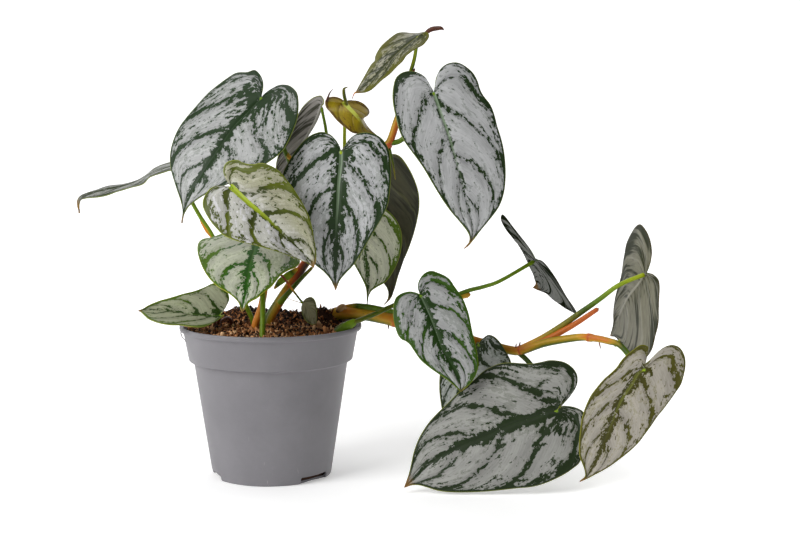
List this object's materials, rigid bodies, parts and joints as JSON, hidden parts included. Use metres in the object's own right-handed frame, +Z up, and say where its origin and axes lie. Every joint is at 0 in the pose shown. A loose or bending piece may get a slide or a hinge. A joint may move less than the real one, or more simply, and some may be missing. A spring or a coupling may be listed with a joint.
{
  "type": "potted philodendron",
  "caption": "Silver-leaved philodendron with heart-shaped variegated leaves, climbing and trailing stems, in a plain grey plastic nursery pot.",
  "frame": {"origin": "centre of the pot's flat underside", "axes": "+Z up, the trailing stem runs towards +X, and the best side of the plant faces -Y"},
  "size_m": [0.3927, 0.1836, 0.2952],
  "materials": {
    "pot": "matte mid grey moulded plastic with light scuffs",
    "soil": "coarse brown peat and coir with paler chips",
    "stem": "smooth living stem, ochre to red-brown with darker joints",
    "petiole": "smooth green leaf stalk",
    "leaf_silver": "satin silver-grey leaf with dark green veins and speckled edges",
    "leaf_young": "satin young yellow-green leaf with olive markings",
    "leaf_green": "satin mid green leaf with darker veins",
    "leaf_dark": "satin dark green leaf with silver patches",
    "leaf_olive": "satin olive leaf with darker veins"
  },
  "bodies": {
    "root": {"pot": "pot", "soil": "soil", "vine_climbing": "stem", "vine_left": "stem", "vine_trailing": "stem", "petiole_low_front": "petiole", "petiole_far_left": "petiole", "petiole_rim_left": "petiole", "petiole_rim_right": "petiole", "leaf_upper_left": "leaf_silver", "leaf_young_front": "leaf_young", "leaf_low_front": "leaf_green", "leaf_centre": "leaf_silver", "leaf_behind_centre": "leaf_green", "leaf_shaded": "leaf_green", "leaf_upper_right": "leaf_silver", "leaf_top": "leaf_green", "leaf_young_curled": "leaf_young", "leaf_turned_back": "leaf_green", "leaf_far_left": "leaf_silver", "leaf_rim_left": "leaf_green", "leaf_soil_small": "leaf_green", "leaf_rim_right": "leaf_silver", "leaf_trailing_hidden": "leaf_dark", "leaf_trailing_large": "leaf_dark", "leaf_trailing_upright": "leaf_green", "leaf_trailing_end": "leaf_olive", "leaf_trailing_edgewise": "leaf_green"}
  },
  "joints": []
}
